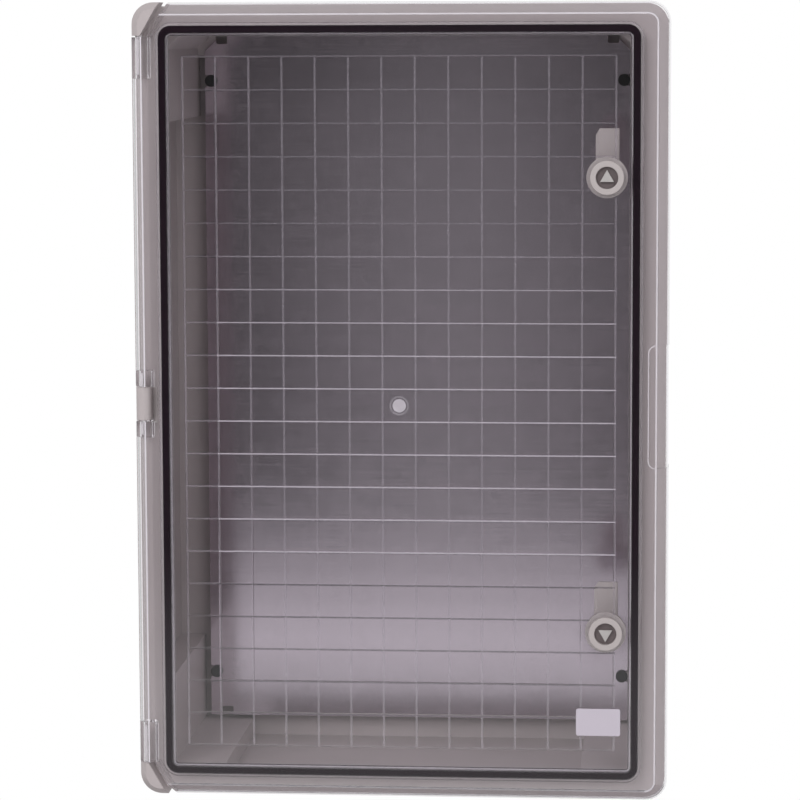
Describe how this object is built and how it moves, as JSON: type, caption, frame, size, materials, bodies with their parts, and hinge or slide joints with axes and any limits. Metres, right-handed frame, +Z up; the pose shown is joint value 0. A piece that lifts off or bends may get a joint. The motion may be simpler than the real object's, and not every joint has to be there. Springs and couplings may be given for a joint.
{
  "type": "electrical cabinet",
  "caption": "Tall wall cabinet of moulded plastic with a clear hinged door, quarter-turn locks, a sealing gasket and a metal mounting plate inside.",
  "frame": {"origin": "centre of the four wall holes, on the back face that lies on the wall", "axes": "+X to the right seen from the front, +Y into the wall, +Z up along the tall side"},
  "size_m": [0.4045, 0.205, 0.606],
  "materials": {
    "abs_grey": "light grey moulded ABS, fine satin grain",
    "galvanised_steel": "galvanised sheet with a dull sheen",
    "black_screw": "black oxide",
    "pin_plastic": "pale plain plastic pin",
    "clear_pane": "clear polycarbonate with a slight smoke tint, fine grid lines on the inside",
    "gasket_foam": "black foamed gasket",
    "lock_plastic": "light grey glass-filled plastic",
    "seal_rubber": "black flat seal",
    "spindle_metal": "dark die-cast spindle with a pale key drive",
    "zinc_steel": "zinc plated"
  },
  "bodies": {
    "enclosure": {"base_shell": "abs_grey", "mounting_plate": "galvanised_steel", "plate_screws": "black_screw", "hinge_pin_top": "pin_plastic", "hinge_pin_middle": "pin_plastic", "hinge_pin_bottom": "pin_plastic"},
    "door": {"door_cover": "clear_pane", "door_gasket": "gasket_foam", "upper_lock_housing": "lock_plastic", "upper_lock_seal": "seal_rubber", "upper_lock_nut": "lock_plastic", "lower_lock_housing": "lock_plastic", "lower_lock_seal": "seal_rubber", "lower_lock_nut": "lock_plastic"},
    "upper_latch": {"upper_lock_spindle": "spindle_metal", "upper_cam": "lock_plastic", "upper_cam_washer": "zinc_steel", "upper_cam_screw": "zinc_steel"},
    "lower_latch": {"lower_lock_spindle": "spindle_metal", "lower_cam": "lock_plastic", "lower_cam_washer": "zinc_steel", "lower_cam_screw": "zinc_steel"}
  },
  "joints": [
    {"name": "door_hinge", "type": "hinge", "parent": "enclosure", "child": "door", "pos_m": [-0.1955, -0.192, 0], "axis": [0, 0, -1], "range_deg": [0, 180]},
    {"name": "upper_latch_turn", "type": "hinge", "parent": "door", "child": "upper_latch", "pos_m": [0.156, -0.19, 0.172], "axis": [0, 1, 0], "range_deg": [0, 90]},
    {"name": "lower_latch_turn", "type": "hinge", "parent": "door", "child": "lower_latch", "pos_m": [0.156, -0.19, -0.172], "axis": [0, 1, 0], "range_deg": [0, 90]}
  ]
}
